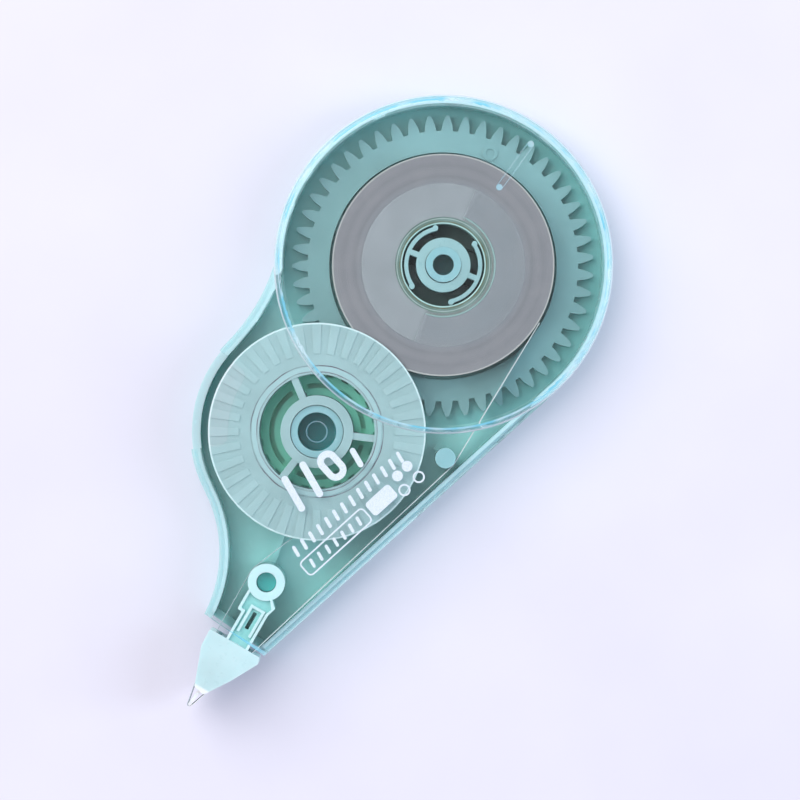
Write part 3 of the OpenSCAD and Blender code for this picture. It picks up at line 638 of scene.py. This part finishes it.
def make_used_carrier(mats):
    """A few loose turns of used carrier around the take-up core."""
    low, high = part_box("takeup_roll")
    turns = 4
    inner = USED_R - 0.43 * MM
    thick = 0.05 * MM
    offset = 0.05 * MM
    sides = 192

    def shape(bm):
        for k in range(turns):
            r = inner + k * (USED_R - inner - thick) / (turns - 1)
            inset = offset * (k % 2)
            lathe(bm, TAKEUP, [(r, low[2] + inset), (r + thick, low[2] + inset),
                               (r + thick, high[2] - inset), (r, high[2] - inset)], sides)
    piece = new_piece("wound_carrier", shape, "takeup_wheel", mats["used"])
    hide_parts("takeup_roll")


def rounded_bar(length, width, corner, steps=6):
    """Outline of a bar with rounded corners, centred on the origin."""
    points = []
    for sx, sy, start in ((1, 1, 0), (-1, 1, 90), (-1, -1, 180), (1, -1, 270)):
        middle = Vector((sx * (length / 2 - corner), sy * (width / 2 - corner)))
        for i in range(steps + 1):
            turn = math.radians(start + 90 * i / steps)
            points.append(middle + corner * Vector((math.cos(turn), math.sin(turn))))
    return points


def slab(bm, outline, low, high, hole=None):
    """An upright slab over an outline, with an optional hole of as many points inside it."""
    def rim(points, z):
        return [bm.verts.new((p.x, p.y, z)) for p in points]

    def side(lower, upper):
        for i in range(len(lower)):
            n = (i + 1) % len(lower)
            bm.faces.new((lower[i], lower[n], upper[n], upper[i]))
    bottom, top = rim(outline, low), rim(outline, high)
    side(bottom, top)
    if hole is None:
        bm.faces.new(top)
        bm.faces.new(bottom[::-1])
        return
    hole_bottom, hole_top = rim(hole, low), rim(hole, high)
    side(hole_bottom, hole_top)
    side(bottom, hole_bottom)
    side(top, hole_top)


def make_print(mats):
    """Generic printed marks on the tail: broad strokes, a ring, rows of dashes, plates and dots.

    Places and sizes are in mm, x along the straight side and y inwards from the take-up axis.
    """
    ink_t = 0.04 * MM
    lean = 78                             # degrees from the straight side to a stroke
    row_y = -10.4
    row_start, row_step, row_count = -13.3, 1.5, 14
    frame_y = -13.15
    frame_start, frame_step, frame_count = -12.7, 1.45, 7
    along = Vector((math.cos(EDGE_TURN), math.sin(EDGE_TURN)))
    across = Vector((-along.y, along.x))
    low, high = FACE_TOP, FACE_TOP + ink_t

    def placed(points, x, y, turn):
        """Points turned, then moved to their place."""
        spin = Matrix.Rotation(EDGE_TURN + math.radians(turn), 2)
        return [TAKEUP + along * x * MM + across * y * MM + spin @ p for p in points]

    def shape(bm):
        def bar(x, y, length, width, turn=0.0, corner=None):
            corner = min(length, width) / 2 - 0.01 if corner is None else corner
            slab(bm, placed(rounded_bar(length * MM, width * MM, corner * MM), x, y, turn), low, high)

        def frame_of(x, y, length, width, corner, stroke):
            outer = rounded_bar(length * MM, width * MM, corner * MM)
            inner = rounded_bar((length - 2 * stroke) * MM, (width - 2 * stroke) * MM,
                                (corner - stroke) * MM)
            slab(bm, placed(outer, x, y, 0), low, high, placed(inner, x, y, 0))
        bar(-8.2, -4.2, 5.6, 1.0, lean)
        bar(-5.0, -4.4, 5.6, 1.0, lean)
        frame_of(-1.6, -4.9, 3.0, 4.6, 1.45, 0.95)
        bar(1.7, -6.4, 3.0, 0.8, lean)
        for k in range(row_count):
            bar(row_start + row_step * k, row_y, 1.7, 0.5, lean)
        frame_of(-8.3, frame_y, 11.9, 2.6, 0.7, 0.22)
        for k in range(frame_count):
            bar(frame_start + frame_step * k, frame_y, 1.4, 0.45, lean)
        bar(0.3, -13.1, 4.4, 2.3, 0, 0.5)
        for x, y in ((4.2, -12.1), (6.1, -12.0)):
            bar(x, y, 1.5, 1.5)
        for x, y in ((3.6, -14.2), (6.3, -14.2)):
            frame_of(x, y, 1.7, 1.7, 0.84, 0.25)
    new_piece("printed_marks", shape, "case", mats["ink"], smooth=False)


# ---- Stage ----
CAMERA_ROLL = -60.0                       # degrees
FRAME_WIDTH = 0.111
FRAME_MIDDLE = (0.00445, -0.0042)
SKY_STRENGTH = 0.62
KEY_POWER = 5.0
FILL_POWER = 2.0


def picture_vector(right, up, out=0.0):
    """A direction given as the picture has it (right, up, towards the camera), in the CAD frame."""
    return Matrix.Rotation(math.radians(CAMERA_ROLL), 3, "Z") @ Vector((right, up, out))


def make_camera():
    """A long lens straight above the lid, turned as the object lies in the picture."""
    data = bpy.data.cameras.new("camera")
    data.lens = 200.0
    data.sensor_width = 36.0
    camera = bpy.data.objects.new("camera", data)
    bpy.context.scene.collection.objects.link(camera)
    middle = Vector((*FRAME_MIDDLE, cad_bounds[1][2]))
    camera.location = middle + Vector((0, 0, FRAME_WIDTH * data.lens / data.sensor_width))
    camera.rotation_euler = (0.0, 0.0, math.radians(CAMERA_ROLL))
    bpy.context.scene.camera = camera


def make_floor():
    """A plain pale floor at the case's back face."""
    half = 3.0
    mesh = bpy.data.meshes.new("floor")
    mesh.from_pydata([(-half, -half, 0), (half, -half, 0), (half, half, 0), (-half, half, 0)], [],
                     [(0, 1, 2, 3)])
    floor = bpy.data.objects.new("floor", mesh)
    bpy.context.scene.collection.objects.link(floor)
    s = Shader("floor_paper")
    grain = s.noise(30.0, 3.0)
    base = s.mix(s.spread(grain, 0.0, 1.0, 0.3, 0.7), rgb(223, 219, 233), rgb(228, 224, 237))
    body = s.node("BsdfPrincipled", {"Base Color": base, "Roughness": 0.85, "Specular IOR Level": 0.2})
    mesh.materials.append(s.surface(body.outputs["BSDF"]))


def area_light(name, place, size, power, colour):
    """A soft rectangular lamp that faces the origin."""
    data = bpy.data.lights.new(name, "AREA")
    data.shape = "RECTANGLE"
    data.size, data.size_y = size
    data.energy = power
    data.color = colour[:3]
    lamp = bpy.data.objects.new(name, data)
    bpy.context.scene.collection.objects.link(lamp)
    lamp.location = place
    lamp.rotation_mode = "QUATERNION"
    lamp.rotation_quaternion = (-Vector(place)).to_track_quat("-Z", "Y")


def make_lights():
    world = bpy.data.worlds.new("world")
    world.use_nodes = True
    sky = world.node_tree.nodes["Background"]
    sky.inputs["Color"].default_value = rgb(236, 240, 250)
    sky.inputs["Strength"].default_value = SKY_STRENGTH
    bpy.context.scene.world = world
    area_light("key", picture_vector(-0.35, 0.3, 0.65), (0.6, 0.8), KEY_POWER, rgb(255, 253, 250))
    area_light("fill", picture_vector(0.6, 0.0, 0.4), (0.25, 0.6), FILL_POWER, rgb(228, 242, 255))
    bpy.context.scene.view_settings.view_transform = "Standard"


make_camera()
materials = make_materials()
dress_nodes(materials)
make_supply_roll(materials)
make_used_carrier(materials)
make_print(materials)
make_floor()
make_lights()
